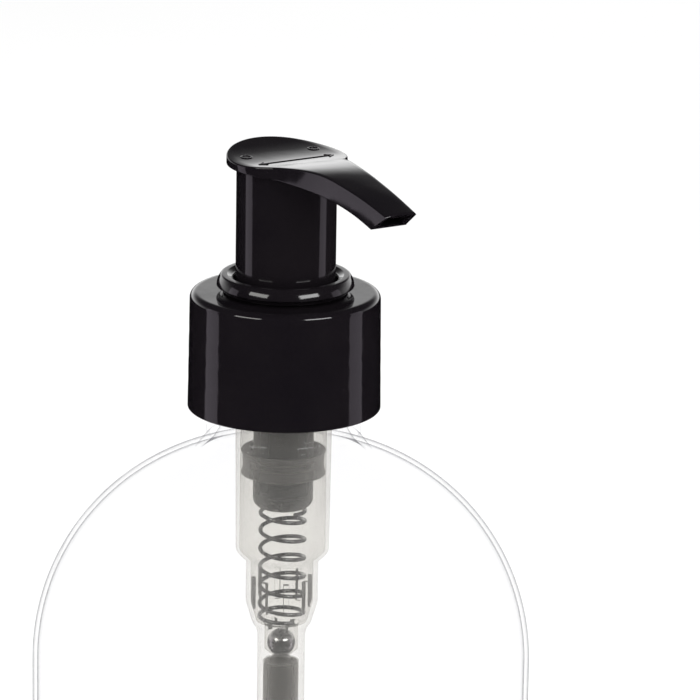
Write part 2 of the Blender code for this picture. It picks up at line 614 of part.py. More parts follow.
def tip_share(u):
    """0 over the sleeve, 1 at the spout's tip."""
    return min(1.0, max(0.0, u / SPOUT_REACH))


def half_width(u):
    """Half the saddle's width in plan: a disc that flares into the tapering spout."""
    if u <= FLARE_START:
        return math.sqrt(HEAD_RADIUS ** 2 - u * u)
    flare = FLARE * math.exp((FLARE_START - u) / FLARE_LENGTH)
    return TIP_HALF_WIDTH + SPOUT_TAPER * (SPOUT_REACH - u) + flare


def saddle_stations():
    """Distances along the spout, close together round the back of the disc."""
    back = [-HEAD_RADIUS * math.cos(math.radians(a)) for a in range(10, 90, 10)]
    front = [FLARE_START * i / 3 for i in range(4)]
    spout = [FLARE_START + (SPOUT_REACH - FLARE_START) * i / 12 for i in range(1, 13)]
    return back + front + spout


def saddle():
    """The saddle and spout as one loft of closed sections, each with a crowned top and a flat underside."""
    bm = bmesh.new()
    across = [-1.0, -0.8, -0.4, 0.0, 0.4, 0.8, 1.0]
    sections = []
    for u in saddle_stations():
        share = tip_share(u)
        low_u = u - TIP_SLANT * share ** 3
        wide = half_width(u)
        crown = SADDLE_CROWN * share
        top = [bm.verts.new((u, s * wide, top_z(u) - crown * s * s)) for s in across]
        under = [bm.verts.new((low_u, s * (wide + SIDE_DRAFT * share), under_z(low_u))) for s in across]
        sections.append(top + under[::-1])
    loft(bm, sections)
    return bm


def channel():
    """The passage for soap, from above the stem to the slanted outlet."""
    bm = bmesh.new()
    inner = SLEEVE_RADIUS - SLEEVE_WALL
    stations = [-STEM_BORE, 0.0, STEM_BORE]
    stations += [inner + (SPOUT_REACH - inner) * i / 10 for i in range(11)]
    half = TIP_HALF_WIDTH - CHANNEL_WALL
    sides = []
    for u in stations:
        share = tip_share(u)
        slant = TIP_SLANT * share ** 3
        high, low = top_z(u), under_z(u - slant)
        roof = high - SADDLE_CROWN * share - SPOUT_WALL
        if u < inner:
            floor = SADDLE_UNDER_Z - DUCT_DROP
        else:
            floor = max(low + SPOUT_WALL, roof - CHANNEL_HEIGHT)
        sides.append([(u - slant * (high - z) / (high - low), z) for z in (floor, roof)])
    beyond = [(2 * last[0] - before[0], 2 * last[1] - before[1])
              for before, last in zip(sides[-2], sides[-1])]
    sections = []
    for (floor_u, floor), (roof_u, roof) in sides + [beyond]:
        corners = ((floor_u, -half, floor), (floor_u, half, floor),
                   (roof_u, half, roof), (roof_u, -half, roof))
        sections.append([bm.verts.new(corner) for corner in corners])
    loft(bm, sections)
    return bm


def actuator_head(material, pump):
    """Saddle, outer sleeve and the socket that grips the stem, cut through from the stem to the outlet."""
    obj = object_from(saddle(), "actuator_head", material, pump)
    inner = SLEEVE_RADIUS - SLEEVE_WALL
    sleeve = [(SLEEVE_RADIUS, SLEEVE_END_Z), (SLEEVE_RADIUS, TUBES_TOP_Z), (inner, TUBES_TOP_Z),
              (inner, SLEEVE_END_Z)]
    combine(obj, helper(turned(sleeve, COARSE), "outer_sleeve"), "UNION")
    grip = STEM_RADIUS + FIT_GAP
    stop = STEM_TOP_Z + STACK_GAP
    socket = [(0.0, TUBES_TOP_Z), (0.0, stop), (grip, stop), (grip, GRIP_END_Z),
              (grip + GRIP_WALL, GRIP_END_Z), (grip + GRIP_WALL, TUBES_TOP_Z)]
    combine(obj, helper(turned(socket, FINE), "stem_socket"), "UNION")
    duct_end = inner + SLEEVE_WALL / 2
    duct_height = DUCT_DROP + DUCT_FLOOR + SADDLE_OVER_SLEEVE
    duct_centre = (duct_end / 2, 0.0, TUBES_TOP_Z - duct_height / 2)
    duct = block(duct_end, 2 * TIP_HALF_WIDTH, duct_height, duct_centre)
    combine(obj, helper(duct, "duct"), "UNION")
    riser = [(0.0, stop - EMBED), (STEM_BORE, stop - EMBED), (STEM_BORE, SADDLE_UNDER_Z),
             (0.0, SADDLE_UNDER_Z)]
    combine(obj, helper(turned(riser, FINE), "riser"), "DIFFERENCE")
    combine(obj, helper(channel(), "spout_channel"), "DIFFERENCE")


def main():
    clear_scene()
    black = plastic("black_plastic", (0.012, 0.012, 0.014), 0.12)
    clear = plastic("clear_plastic", (0.95, 0.96, 0.97), 0.03, transmission=1.0, alpha=0.3)
    natural = plastic("natural_plastic", (0.85, 0.84, 0.80), 0.3, transmission=0.6, alpha=0.6)
    foam = plastic("white_foam", (0.9, 0.9, 0.88), 0.8)
    steel = plastic("spring_steel", (0.62, 0.63, 0.65), 0.25, metallic=1.0)

    pump = bpy.data.objects.new("pump_unit", None)
    pump.location.z = CLOSURE_Z
    bpy.context.scene.collection.objects.link(pump)

    bottle(clear)
    closure(black, pump)
    neck_gasket(foam, pump)
    lock_ring(black, pump)
    pump_housing(natural, pump)
    inlet_ball(steel, pump)
    dip_tube(natural, pump)
    stem(natural, pump)
    plunger(natural, pump)
    piston(natural, pump)
    return_spring(steel, pump)
    actuator_head(black, pump)


main()
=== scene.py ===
"""Soap pump dispenser, the looks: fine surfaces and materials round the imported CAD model.

Shapes are drawn in millimetres, with heights counted from the closure's lower edge, and are then put where
the frame has that edge. +X is the way the spout points.
"""

import math

import bmesh
import bpy
import numpy as np
from mathutils import Matrix, Vector

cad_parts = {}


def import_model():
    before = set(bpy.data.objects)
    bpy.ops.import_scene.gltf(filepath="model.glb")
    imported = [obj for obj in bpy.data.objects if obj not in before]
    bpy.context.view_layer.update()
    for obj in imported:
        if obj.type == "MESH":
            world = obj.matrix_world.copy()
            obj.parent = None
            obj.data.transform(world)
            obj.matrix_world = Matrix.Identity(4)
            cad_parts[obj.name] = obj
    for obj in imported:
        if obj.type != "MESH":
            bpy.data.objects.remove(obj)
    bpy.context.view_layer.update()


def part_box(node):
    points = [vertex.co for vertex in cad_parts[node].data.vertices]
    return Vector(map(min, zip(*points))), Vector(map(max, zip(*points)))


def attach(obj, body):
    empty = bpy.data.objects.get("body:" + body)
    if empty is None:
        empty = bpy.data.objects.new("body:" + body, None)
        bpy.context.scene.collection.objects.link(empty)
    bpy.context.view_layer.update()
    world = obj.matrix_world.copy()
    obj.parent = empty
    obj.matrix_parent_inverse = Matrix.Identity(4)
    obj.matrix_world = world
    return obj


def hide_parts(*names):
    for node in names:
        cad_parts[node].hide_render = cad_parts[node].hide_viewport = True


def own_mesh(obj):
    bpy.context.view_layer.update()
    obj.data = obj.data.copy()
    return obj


MM = 0.001
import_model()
CLOSURE_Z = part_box("closure")[0].z


def extent(node):
    """A node's greatest x, lowest z and highest z, in mm, with heights from the closure's lower edge."""
    low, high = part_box(node)
    return high.x / MM, (low.z - CLOSURE_Z) / MM, (high.z - CLOSURE_Z) / MM


BODY_RADIUS, BASE_Z, RIM_Z = extent("bottle")
CLOSURE_RADIUS, _, CLOSURE_TOP = extent("closure")
COLLAR_RADIUS, RING_END, COLLAR_TOP = extent("lock_ring")
GASKET_RADIUS, GASKET_LOW, GASKET_TOP = extent("neck_gasket")
FLANGE_RADIUS, HOUSING_END, FLANGE_TOP = extent("pump_housing")
STEM_RADIUS, STEM_END, STEM_TOP = extent("stem")
PLUNGER_RADIUS, PLUNGER_END, PLUNGER_TOP = extent("plunger")
PISTON_RADIUS, PISTON_END, PISTON_TOP = extent("piston")
_, SPRING_END, SPRING_TOP = extent("return_spring")
BALL_RADIUS, BALL_LOW, BALL_TOP = extent("inlet_ball")
TUBE_REACH, TUBE_END, TUBE_TOP = extent("dip_tube")
SPOUT_REACH, SLEEVE_END, _ = extent("actuator_head")

# Sizes that the boxes don't give, in mm
DOME_RADIUS = 38.8
HEEL_RADIUS = 16.0
DOME_CENTRE_Z = BASE_Z + 70.9
DOME_OFFSET = BODY_RADIUS - DOME_RADIUS
BOTTLE_WALL = 0.8
NECK_RADIUS = 12.6
NECK_BORE = 10.95
BEAD_RADIUS = 13.2
BEAD_UNDER = -4.5
SEAM_ANGLE = 43.0  # degrees from +X to the mould's parting line; the other one is opposite
SEAM_HEIGHT = 0.1
THREAD_PITCH = 4.233
THREAD_DEPTH = 1.1
CLOSURE_BORE = 14.1
SINK_DEPTH = 0.028  # how far the cap's skirt sinks behind its thread
SINK_SPREAD = 0.2  # half width of that dip, in turns of the thread
SLEEVE_RADIUS = 8.5
SLEEVE_BORE = 7.4
RING_BORE = 8.7
RING_RADIUS = 9.55
UPPER_BORE = 9.65
UPPER_RADIUS = 10.4
SPRING_RADIUS = 3.8
SPRING_WIRE = 0.35
SPRING_TURNS = 7.0
STROKE = 12.0
HEAD_RADIUS = 10.2

# Plan of the saddle's side after the disc, and its top and underside in side view, by distance along the spout
SADDLE_SIDE = [(7.1, 7.3), (9.4, 6.35), (12.1, 5.55), (16.4, 4.5), (22.8, 3.76), (29.0, 3.33), (35.8, 2.98)]
SADDLE_TOP = [(-10.2, 45.02), (-6.0, 44.22), (-1.0, 43.78), (4.0, 43.88), (9.0, 44.48), (14.0, 44.93),
              (19.0, 44.86), (24.0, 44.23), (29.0, 43.38), (35.8, 41.83)]
SADDLE_UNDER = [(-10.2, 42.5), (0.0, 42.4), (6.0, 42.2), (12.0, 41.8), (18.0, 41.3), (23.6, 40.65),
                (28.0, 39.8), (32.2, 38.65)]
TIP_SLANT = 3.6
SADDLE_CROWN = 0.25
SIDE_DRAFT = 0.5

# --- shapes ---------------------------------------------------------------------------------------------


def spline(points):
    """A function that reads a smooth curve, with continuous curvature, through (x, y) points."""
    x, y = np.array(points, float).T
    h = np.diff(x)
    n = len(x)
    system, right = np.eye(n), np.zeros(n)
    for i in range(1, n - 1):
        system[i, i - 1:i + 2] = h[i - 1], 2 * (h[i - 1] + h[i]), h[i]
        right[i] = 6 * ((y[i + 1] - y[i]) / h[i] - (y[i] - y[i - 1]) / h[i - 1])
    m = np.linalg.solve(system, right)

    def read(at):
        i = int(np.clip(np.searchsorted(x, at) - 1, 0, n - 2))
        a, b = (x[i + 1] - at) / h[i], (at - x[i]) / h[i]
        bend = (a ** 3 - a) * m[i] + (b ** 3 - b) * m[i + 1]
        return float(a * y[i] + b * y[i + 1] + bend * h[i] ** 2 / 6)

    return read


def arc(centre, radius, start, end, steps):
    """Points on an arc, from start to end degrees, 0 pointing away from the axis and 90 up."""
    angles = [math.radians(start + (end - start) * i / steps) for i in range(steps + 1)]
    return [(centre[0] + radius * math.cos(a), centre[1] + radius * math.sin(a)) for a in angles]


def rounded(corners, closed=True, steps=5):
    """An outline whose corners (radius, height, fillet) are rounded where a fillet is given."""
    points = []
    count = len(corners)
    for i, corner in enumerate(corners):
        here = Vector(corner[:2])
        fillet = corner[2] if len(corner) > 2 else 0.0
        if fillet == 0 or (not closed and i in (0, count - 1)):
            points.append(tuple(here))
            continue
        back = (Vector(corners[i - 1][:2]) - here)
        on = (Vector(corners[(i + 1) % count][:2]) - here)
        half = back.angle(on) / 2
        reach = min(fillet / math.tan(half), 0.49 * back.length, 0.49 * on.length)
        radius = reach * math.tan(half)
        centre = here + (back.normalized() + on.normalized()).normalized() * (radius / math.sin(half))
        start, end = here + back.normalized() * reach - centre, here + on.normalized() * reach - centre
        turn = start.angle_signed(end)
        for k in range(steps + 1):
            points.append(tuple(centre + Matrix.Rotation(-turn * k / steps, 2) @ start))
    return points


def refined(outline, step):
    """The outline with its long stretches cut into pieces of about step."""
    points = []
    for a, b in zip(outline, outline[1:] + outline[:1]):
        cuts = max(1, round(math.dist(a, b) / step))
        points += [(a[0] + (b[0] - a[0]) * k / cuts, a[1] + (b[1] - a[1]) * k / cuts) for k in range(cuts)]
    return points


def ring_angles(count, extra=()):
    """Angles in radians round the axis, with a cluster of closer ones at each extra angle in degrees."""
    angles = [math.tau * i / count for i in range(count)]
    for place in extra:
        cluster = (-0.016, -0.009, -0.004, 0.0, 0.004, 0.009, 0.016)
        angles += [math.radians(place) + offset for offset in cluster]
    angles = sorted(a % math.tau for a in angles)
    return [a for a, b in zip(angles, angles[1:] + [math.tau + angles[0]]) if b - a > 0.0015]


def turned(outline, angles):
    """A closed bmesh of revolution. An outline that starts and ends on the axis closes there."""
    bm = bmesh.new()
    columns = []
    poles = {}
    for angle in angles:
        column = []
        for k, (r, z) in enumerate(outline):
            if r < 1e-6:
                if k not in poles:
                    poles[k] = bm.verts.new((0, 0, z))
                column.append(poles[k])
            else:
                column.append(bm.verts.new((r * math.cos(angle), r * math.sin(angle), z)))
        columns.append(column)
    solid = outline[0][0] < 1e-6
    spans = list(zip(range(len(outline) - 1), range(1, len(outline))))
    if not solid:
        spans.append((len(outline) - 1, 0))
    for a, b in zip(columns, columns[1:] + columns[:1]):
        for low, high in spans:
            corners = []
            for v in (a[low], b[low], b[high], a[high]):
                if v not in corners:
                    corners.append(v)
            if len(corners) > 2:
                bm.faces.new(corners)
    return bm


def loft(bm, sections, closed=False):
    """Joins rings of vertices. Open ends get a flat cap; closed joins the last ring to the first."""
    pairs = list(zip(sections, sections[1:]))
    if closed:
        pairs.append((sections[-1], sections[0]))
    for first, second in pairs:
        for k in range(len(first)):
            b = (k + 1) % len(first)
            bm.faces.new((first[k], first[b], second[b], second[k]))
    if not closed:
        bm.faces.new(sections[0])
        bm.faces.new(sections[-1])


def finished(bm, name, sharp=32.0):
    """The bmesh as an object in its place, in metres, shaded smooth over its soft edges."""
    bmesh.ops.recalc_face_normals(bm, faces=bm.faces)
    mesh = bpy.data.meshes.new(name)
    bm.to_mesh(mesh)
    bm.free()
    mesh.transform(Matrix.Translation((0, 0, CLOSURE_Z)) @ Matrix.Scale(MM, 4))
    obj = bpy.data.objects.new(name, mesh)
    bpy.context.scene.collection.objects.link(obj)
    shade(obj, sharp)
    return obj


def shade(obj, sharp=32.0):
    obj.data.shade_smooth()
    obj.data.set_sharp_from_angle(angle=math.radians(sharp))


def combine(obj, others, operation):
    """Adds or cuts the other objects, which are used up."""
    for other in others:
        modifier = obj.modifiers.new(other.name, "BOOLEAN")
        modifier.object = other
        modifier.operation = operation
        modifier.solver = "EXACT"
    graph = bpy.context.evaluated_depsgraph_get()
    mesh = bpy.data.meshes.new_from_object(obj.evaluated_get(graph))
    obj.modifiers.clear()
    obj.data = mesh
    for other in others:
        bpy.data.objects.remove(other)
    shade(obj)


def thread(name, root, crest, start_z, turns=1.5, run_out=0.12):
    """A helical ridge with rounded crest corners, whose ends fade into the wall at root."""
    bm = bmesh.new()
    outward = 1 if crest > root else -1
    steps = 72
    rings = []
    total = round(turns * steps)
    for i in range(total + 1):
        turn = i / steps
        fade = min(1.0, turn / run_out, (turns - turn) / run_out)
        fade = max(0.04, fade * fade * (3 - 2 * fade))
        top = root + (crest - root) * fade
        shy = top - outward * 0.15 * fade
        section = [(root - outward * 0.3, -1.2), (shy, -0.62), (top, -0.42), (top, 0.42), (shy, 0.62),
                   (root - outward * 0.3, 1.2)]
        angle = math.tau * turn
        z = start_z + THREAD_PITCH * turn
        rings.append([bm.verts.new((r * math.cos(angle), r * math.sin(angle), z + dz)) for r, dz in section])
    loft(bm, rings)
    return finished(bm, name)


def block(name, size, centre, angle=0.0):
    bm = bmesh.new()
    bmesh.ops.create_cube(bm, size=1.0)
    bmesh.ops.scale(bm, vec=size, verts=bm.verts)
    bmesh.ops.translate(bm, vec=centre, verts=bm.verts)
    bmesh.ops.rotate(bm, cent=(0, 0, 0), matrix=Matrix.Rotation(angle, 3, "Z"), verts=bm.verts)
    return finished(bm, name)


def place(obj, body, slot_name, material, *nodes):
    """Gives a piece its material, and makes it ride and stand for its CAD nodes."""
    obj.data.materials.clear()
    obj.data.materials.append(material)
    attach(obj, body)
    if nodes:
        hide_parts(*nodes)
    return obj


# --- materials ------------------------------------------------------------------------------------------


class Nodes:
    """A material's node tree, with short ways to add nodes and links."""

    def __init__(self, name):
        self.material = bpy.data.materials.new(name)
        self.material.use_nodes = True
        self.tree = self.material.node_tree
        self.tree.nodes.clear()
        self.output = self.add("ShaderNodeOutputMaterial")

    def add(self, kind, **inputs):
        node = self.tree.nodes.new(kind)
        for key, value in inputs.items():
            node.inputs[key.replace("_", " ")].default_value = value
        return node

    def link(self, source, target, out=0, into=0):
        self.tree.links.new(source.outputs[out], target.inputs[into])
        return target

    def noise(self, scale, detail=3.0, stretch=(1, 1, 1)):
        """Noise over the piece's own coordinates, in metres."""
        where = self.add("ShaderNodeTexCoord")
        mapping = self.add("ShaderNodeMapping")
        mapping.inputs["Scale"].default_value = stretch
        self.link(where, mapping, "Object", "Vector")
        node = self.add("ShaderNodeTexNoise", Scale=scale, Detail=detail)
        return self.link(mapping, node, "Vector", "Vector")

    def spread(self, source, low, high, out="Fac"):
        """Maps a noise's middle range to low..high."""
        node = self.add("ShaderNodeMapRange")
        node.inputs["From Min"].default_value = 0.3
        node.inputs["From Max"].default_value = 0.7
        node.inputs["To Min"].default_value = low
        node.inputs["To Max"].default_value = high
        return self.link(source, node, out, "Value")

    def bump(self, source, strength, distance, out="Fac"):
        node = self.add("ShaderNodeBump", Strength=strength, Distance=distance)
        return self.link(source, node, out, "Height")

    def tint(self, source, dark, light):
        """A colour between dark and light, by a noise."""
        node = self.add("ShaderNodeValToRGB")
        node.color_ramp.elements[0].position = 0.3
        node.color_ramp.elements[0].color = (*dark, 1)
        node.color_ramp.elements[1].position = 0.7
        node.color_ramp.elements[1].color = (*light, 1)
        return self.link(source, node, "Fac", "Fac")


def black_plastic():
    """Glossy moulded polypropylene: faint waviness, and a roughness that changes from place to place."""
    n = Nodes("black_plastic")
    shader = n.add("ShaderNodeBsdfPrincipled", IOR=1.5)
    tone = n.tint(n.noise(60.0, 4.0), (0.0055, 0.0045, 0.0060), (0.0085, 0.0070, 0.0085))
    n.link(tone, shader, "Color", "Base Color")
    n.link(n.spread(n.noise(240.0, 6.0), 0.05, 0.11), shader, "Result", "Roughness")
    n.link(n.bump(n.noise(150.0, 2.0), 0.08, 0.0004), shader, "Normal", "Normal")
    n.link(shader, n.output, "BSDF", "Surface")
    return n.material


def clear_pet():
    """Clear thin-walled PET: seen straight through, with painted shade that greys the wall where it is edge on,
    and a weak mirror.
    """
    n = Nodes("clear_pet")
    gloss = n.add("ShaderNodeBsdfGlossy", Color=(0.9, 0.9, 0.92, 1), Roughness=0.02)
    n.link(n.bump(n.noise(45.0, 2.0, (1, 1, 0.35)), 0.12, 0.0006), gloss, "Normal", "Normal")
    face_on = n.add("ShaderNodeBsdfTransparent", Color=(0.991, 0.991, 0.993, 1))
    # painted shade: the see-through colour turns grey where the wall is seen edge on, in place of the darker
    # surroundings seen through it
    painted_edge_shade = n.add("ShaderNodeBsdfTransparent", Color=(0.60, 0.60, 0.62, 1))
    facing = n.add("ShaderNodeLayerWeight", Blend=0.5)
    share = n.add("ShaderNodeMapRange")
    share.inputs["From Min"].default_value = 0.87
    share.inputs["From Max"].default_value = 1.0
    n.link(facing, share, "Facing", "Value")
    wall = n.add("ShaderNodeMixShader")
    n.link(share, wall, "Result", "Fac")
    n.link(face_on, wall, "BSDF", 1)
    n.link(painted_edge_shade, wall, "BSDF", 2)
    mirror = n.add("ShaderNodeMapRange")
    for key, value in (("From Min", 0.8), ("To Min", 0.015), ("To Max", 0.16)):
        mirror.inputs[key].default_value = value
    n.link(facing, mirror, "Facing", "Value")
    seen = n.add("ShaderNodeMixShader")
    n.link(mirror, seen, "Result", "Fac")
    n.link(wall, seen, "Shader", 1)
    n.link(gloss, seen, "BSDF", 2)
    through = n.add("ShaderNodeBsdfTransparent", Color=(0.96, 0.965, 0.97, 1))
    path = n.add("ShaderNodeLightPath")
    mix = n.add("ShaderNodeMixShader")
    n.link(path, mix, "Is Shadow Ray", "Fac")
    n.link(seen, mix, "Shader", 1)
    n.link(through, mix, "BSDF", 2)
    n.link(mix, n.output, "Shader", "Surface")
    return n.material


def milky_plastic(name, colour, haze, edge_haze, rough, grain):
    """Natural polyolefin: part of the light goes straight through, part is scattered, more at the edges."""
    n = Nodes(name)
    lighter = tuple(min(1.0, c * 1.06) for c in colour)
    tone = n.tint(n.noise(grain, 4.0, (1, 1, 0.2)), colour, lighter)
    clear = n.add("ShaderNodeBsdfTransparent", Color=(0.95, 0.945, 0.93, 1))
    scatter = n.add("ShaderNodeBsdfTranslucent")
    front = n.add("ShaderNodeBsdfPrincipled", IOR=1.49)
    n.link(tone, scatter, "Color", "Color")
    n.link(tone, front, "Color", "Base Color")
    n.link(n.spread(n.noise(grain * 4, 5.0), rough * 0.8, rough * 1.2), front, "Result", "Roughness")
    n.link(n.bump(n.noise(grain * 2, 3.0), 0.1, 0.0003), front, "Normal", "Normal")
    body = n.add("ShaderNodeMixShader", Fac=0.45)
    n.link(scatter, body, "BSDF", 1)
    n.link(front, body, "BSDF", 2)
    edge = n.add("ShaderNodeLayerWeight", Blend=0.35)
    share = n.add("ShaderNodeMapRange")
    share.inputs["To Min"].default_value = haze
    share.inputs["To Max"].default_value = min(1.0, haze + edge_haze)
    n.link(edge, share, "Facing", "Value")
    mix = n.add("ShaderNodeMixShader")
    n.link(share, mix, "Result", "Fac")
    n.link(clear, mix, "BSDF", 1)
    n.link(body, mix, "Shader", 2)
    n.link(mix, n.output, "Shader", "Surface")
    return n.material


def white_foam():
    """Closed-cell foam."""
    n = Nodes("white_foam")
    shader = n.add("ShaderNodeBsdfPrincipled", Roughness=0.85)
    n.link(n.tint(n.noise(900.0), (0.80, 0.79, 0.76), (0.9, 0.9, 0.88)), shader, "Color", "Base Color")
    n.link(n.bump(n.noise(2500.0, 2.0), 0.5, 0.0001), shader, "Normal", "Normal")
    n.link(shader, n.output, "BSDF", "Surface")
    return n.material


def steel(name, stretch, dark, light):
    """Drawn or polished stainless steel."""
    n = Nodes(name)
    shader = n.add("ShaderNodeBsdfPrincipled", Metallic=1.0)
    n.link(n.tint(n.noise(500.0, 3.0, stretch), dark, light), shader, "Color", "Base Color")
    n.link(n.spread(n.noise(1200.0, 4.0, stretch), 0.16, 0.3), shader, "Result", "Roughness")
    n.link(shader, n.output, "BSDF", "Surface")
    return n.material


# --- bottle ---------------------------------------------------------------------------------------------


def bottle_outline(inset):
    """From the outer edge of the foot up to the neck's root, inset into the wall."""
    root = (NECK_RADIUS + 1.6 - inset - DOME_OFFSET) / (DOME_RADIUS - inset)
    heel = arc((BODY_RADIUS - HEEL_RADIUS, BASE_Z + HEEL_RADIUS), HEEL_RADIUS - inset, -90, 0, 20)
    wall = [(BODY_RADIUS - inset, BASE_Z + HEEL_RADIUS + (DOME_CENTRE_Z - BASE_Z - HEEL_RADIUS) * k / 12)
            for k in range(1, 12)]
    dome = arc((DOME_OFFSET, DOME_CENTRE_Z), DOME_RADIUS - inset, 0, math.degrees(math.acos(root)), 48)
    return heel + wall + dome


def foot(base, gate):
    """The pushed-up base from the axis to the foot ring, with the gate mark in its middle."""
    inner = BODY_RADIUS - HEEL_RADIUS - 4.0
    rise = spline([(0.0, 3.0), (inner * 0.35, 2.85), (inner * 0.65, 1.9), (inner * 0.88, 0.6), (inner, 0.05)])
    middle = [(0.0, base + 3.0 - gate), (1.2, base + 3.0 - gate), (1.8, base + 2.98)]
    slope = [(r, base + rise(r)) for r in np.linspace(3.0, inner - 0.4, 16)]
    return middle + slope + [(inner + 0.2, base)]


def bottle(material):
    top = RIM_Z
    neck = rounded([
        (NECK_RADIUS + 0.9, BEAD_UNDER - 1.1), (NECK_RADIUS + 0.15, BEAD_UNDER - 0.45, 0.4),
        (NECK_RADIUS + 0.1, BEAD_UNDER, 0.1), (BEAD_RADIUS, BEAD_UNDER, 0.3),
        (BEAD_RADIUS, BEAD_UNDER + 1.0, 0.3),
        (NECK_RADIUS, BEAD_UNDER + 1.5, 0.5), (NECK_RADIUS, top, 0.35), (NECK_BORE, top, 0.35),
        (NECK_BORE, BEAD_UNDER + 0.4, 2.0), (NECK_BORE + 1.4, BEAD_UNDER - 1.9),
    ], closed=False)
    outside = foot(BASE_Z, 0.35) + bottle_outline(0.0)[:-1]
    inside = foot(BASE_Z + 1.6, -0.1) + [(BODY_RADIUS - HEEL_RADIUS + 2.0, BASE_Z + 1.7)]
    inside += bottle_outline(BOTTLE_WALL)[5:-1]
    bm = turned(outside + neck + inside[::-1], ring_angles(192, (SEAM_ANGLE, SEAM_ANGLE + 180)))
    normal = Vector((-math.sin(math.radians(SEAM_ANGLE)), math.cos(math.radians(SEAM_ANGLE)), 0))
    for v in bm.verts:
        r = math.hypot(v.co.x, v.co.y)
        outer = is_outer(v.co.z, r)
        off = abs(v.co.dot(normal))
        if outer and off < 0.45 and v.co.z > BASE_Z + 1.0 and v.co.z < 1.0:
            lift = SEAM_HEIGHT * math.cos(math.pi / 2 * off / 0.45) ** 2
            v.co.x += v.co.x / r * lift
            v.co.y += v.co.y / r * lift
    obj = finished(bm, "bottle_body", 40)
    combine(obj, [thread("neck_ridge", NECK_RADIUS, NECK_RADIUS + THREAD_DEPTH, RIM_Z - 8.4)], "UNION")
    place(obj, "bottle", "clear_pet", material, "bottle")


def is_outer(z, r):
    """True on the bottle's outer surface, by its distance from the body's outline."""
    if BASE_Z + HEEL_RADIUS < z < DOME_CENTRE_Z:
        return r > BODY_RADIUS - BOTTLE_WALL / 2
    if DOME_CENTRE_Z <= z < BEAD_UNDER - 1.0:
        return math.hypot(r - DOME_OFFSET, z - DOME_CENTRE_Z) > DOME_RADIUS - BOTTLE_WALL / 2
    if z >= BEAD_UNDER - 1.0:
        return r > (NECK_RADIUS + NECK_BORE) / 2
    out, up = r - BODY_RADIUS + HEEL_RADIUS, z - BASE_Z - HEEL_RADIUS
    return out > 0 and math.hypot(out, up) > HEEL_RADIUS - BOTTLE_WALL / 2


# --- closure, gasket and lock ring ----------------------------------------------------------------------


def closure(material):
    """The cap's outer wall sinks very slightly behind its inner thread, which waves its reflections."""
    crest = CLOSURE_TOP
    top_radius = CLOSURE_RADIUS - 0.25
    hole = RING_RADIUS + 0.2
    outline = rounded([
        (CLOSURE_RADIUS, 0.0, 0.25), (top_radius, crest, 1.15),
        (hole, crest, 0.2), (hole, crest - 1.6, 0.2), (CLOSURE_BORE, crest - 1.6, 0.5),
        (CLOSURE_BORE, 0.9, 0.2),
        (CLOSURE_BORE + 0.35, 0.0, 0.15),
    ], steps=8)
    bm = turned(refined(outline, 0.28), ring_angles(224))
    thread_low, thread_high = 2.4, 15.6
    for v in bm.verts:
        r = math.hypot(v.co.x, v.co.y)
        z = v.co.z
        if r < CLOSURE_BORE + 1.0 or not thread_low < z < thread_high:
            continue
        phase = (z / THREAD_PITCH - math.atan2(v.co.y, v.co.x) / math.tau) % 1.0
        fade = min(1.0, (z - thread_low) / 1.5, (thread_high - z) / 1.5)
        sink = SINK_DEPTH * fade * math.exp(-((phase - 0.5) / SINK_SPREAD) ** 2)
        v.co.x -= v.co.x / r * sink
        v.co.y -= v.co.y / r * sink
    obj = finished(bm, "closure_cap", 40)
    ridge = thread("closure_ridge", CLOSURE_BORE, NECK_RADIUS + THREAD_DEPTH - 0.6, RIM_Z - 8.4 - 2.1)
    combine(obj, [ridge], "UNION")
    place(obj, "closure", "black_plastic", material, "closure")


def gasket(material):
    inner = UPPER_RADIUS + 0.15
    corners = [(inner, GASKET_LOW, 0.2), (GASKET_RADIUS, GASKET_LOW, 0.2), (GASKET_RADIUS, GASKET_TOP, 0.2),
               (inner, GASKET_TOP, 0.2)]
    obj = finished(turned(rounded(corners), ring_angles(128)), "foam_gasket")
    place(obj, "pump_unit", "white_foam", material, "neck_gasket")


def lock_ring(material):
    collar = CLOSURE_TOP + 0.2
    guide = STEM_RADIUS + 0.2
    floor = RING_END + 1.0
    guide_top = 8.4
    outline = rounded([
        (RING_RADIUS, RING_END, 0.2), (RING_RADIUS, collar), (COLLAR_RADIUS - 1.2, collar, 0.2),
        (COLLAR_RADIUS - 0.75, collar + 0.75, 1.2), (COLLAR_RADIUS, collar + 1.0, 0.18),
        (COLLAR_RADIUS - 0.32, collar + 2.0, 4.0), (COLLAR_RADIUS - 0.85, COLLAR_TOP, 0.45),
        (RING_BORE + 1.2, COLLAR_TOP, 0.12), (RING_BORE + 0.3, COLLAR_TOP - 0.5, 0.5),
        (RING_BORE, COLLAR_TOP - 1.3, 0.6), (RING_BORE, floor, 0.3), (guide + 0.9, floor, 0.3),
        (guide + 0.9, guide_top, 0.2), (guide, guide_top, 0.2),
        (guide, RING_END, 0.2),
    ], steps=6)
    obj = finished(turned(outline, ring_angles(160)), "lock_collar")
    place(obj, "pump_unit", "black_plastic", material, "lock_ring")


# --- pump below the closure -----------------------------------------------------------------------------

HEAD_ROOM = 0.9
BARREL_BORE = 7.4
BARREL_END = -25.6
LOWER_BORE = 5.4
LOWER_RADIUS = 6.2
LOWER_TOP = -27.5
LOWER_END = -34.9
SEAT_Z = SPRING_END - 0.2
SEAT_BORE = 4.35
TUBE_RADIUS = 3.0
SOCKET_BORE = TUBE_RADIUS + 0.1
SOCKET_RADIUS = SOCKET_BORE + 1.0


